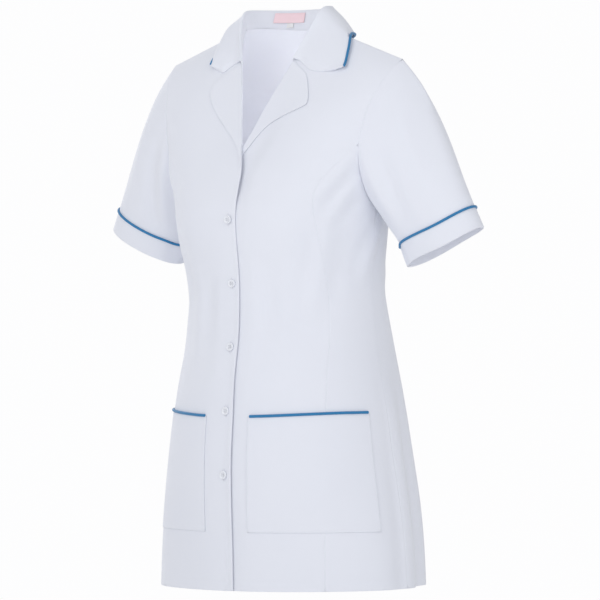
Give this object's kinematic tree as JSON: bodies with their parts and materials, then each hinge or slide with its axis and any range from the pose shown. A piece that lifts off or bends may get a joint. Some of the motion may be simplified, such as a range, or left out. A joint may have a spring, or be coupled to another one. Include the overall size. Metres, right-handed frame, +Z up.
{
  "type": "nurse uniform dress",
  "caption": "Worn, hollow short-sleeved nurse tunic with a revere collar, button front, two lower patch pockets and piping on collar, cuffs and pockets.",
  "frame": {"origin": "middle of the neck, level with the neck end of the shoulder seams", "axes": "+Z up along the worn garment, -Y towards the front, +X towards the wearer's left"},
  "size_m": [0.623, 0.2925, 0.7863],
  "materials": {
    "white_cloth": "matt woven polyester cotton",
    "blue_piping": "matt woven bias piping",
    "button_white": "semi-gloss",
    "label_pink": "matt woven label",
    "tab_white": "matt woven tape"
  },
  "bodies": {
    "root": {"front_right": "white_cloth", "front_left": "white_cloth", "side_front_right": "white_cloth", "side_front_left": "white_cloth", "back": "white_cloth", "sleeve_right": "white_cloth", "sleeve_left": "white_cloth", "cuff_right": "white_cloth", "cuff_left": "white_cloth", "cuff_piping_right": "blue_piping", "cuff_piping_left": "blue_piping", "collar": "white_cloth", "collar_piping": "blue_piping", "lapel_right": "white_cloth", "lapel_left": "white_cloth", "pocket_right": "white_cloth", "pocket_left": "white_cloth", "pocket_piping_right": "blue_piping", "pocket_piping_left": "blue_piping", "button_1": "button_white", "button_2": "button_white", "button_3": "button_white", "button_4": "button_white", "button_5": "button_white", "neck_label": "label_pink", "size_tab": "tab_white"}
  },
  "joints": []
}
